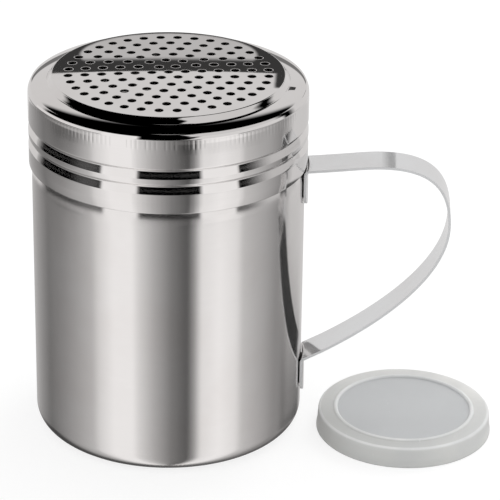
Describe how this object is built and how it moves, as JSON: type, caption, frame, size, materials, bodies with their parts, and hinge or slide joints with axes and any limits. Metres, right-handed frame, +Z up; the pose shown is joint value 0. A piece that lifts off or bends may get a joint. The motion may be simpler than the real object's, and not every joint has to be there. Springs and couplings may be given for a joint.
{
  "type": "spice shaker",
  "caption": "Stainless spice shaker with a strap handle, a perforated lift-off lid and a loose frosted plastic snap cap.",
  "frame": {"origin": "middle of the cup's flat base, on the surface it stands on", "axes": "+Z up along the cup's axis; +X from the cup's axis to the handle; the loose cap lies towards +X and a little to -Y"},
  "size_m": [0.1188, 0.07, 0.0948],
  "materials": {
    "cup_shell": "brushed round the wall",
    "strap_handle": "satin",
    "perforated_lid": "polished top, brushed side",
    "snap_cap": "frosted, translucent"
  },
  "bodies": {
    "shaker_cup": {"cup_shell": "cup_shell", "strap_handle": "strap_handle"},
    "lid": {"perforated_lid": "perforated_lid"},
    "cap": {"snap_cap": "snap_cap"}
  },
  "joints": [
    {"name": "lid_lift", "type": "slide", "parent": "shaker_cup", "child": "lid", "axis": [0, 0, 1], "range_m": [0, 0.045]},
    {"name": "cap_lift", "type": "slide", "parent": "shaker_cup", "child": "cap", "axis": [0, -0.8, 0.6], "range_m": [0, 0.15]}
  ]
}
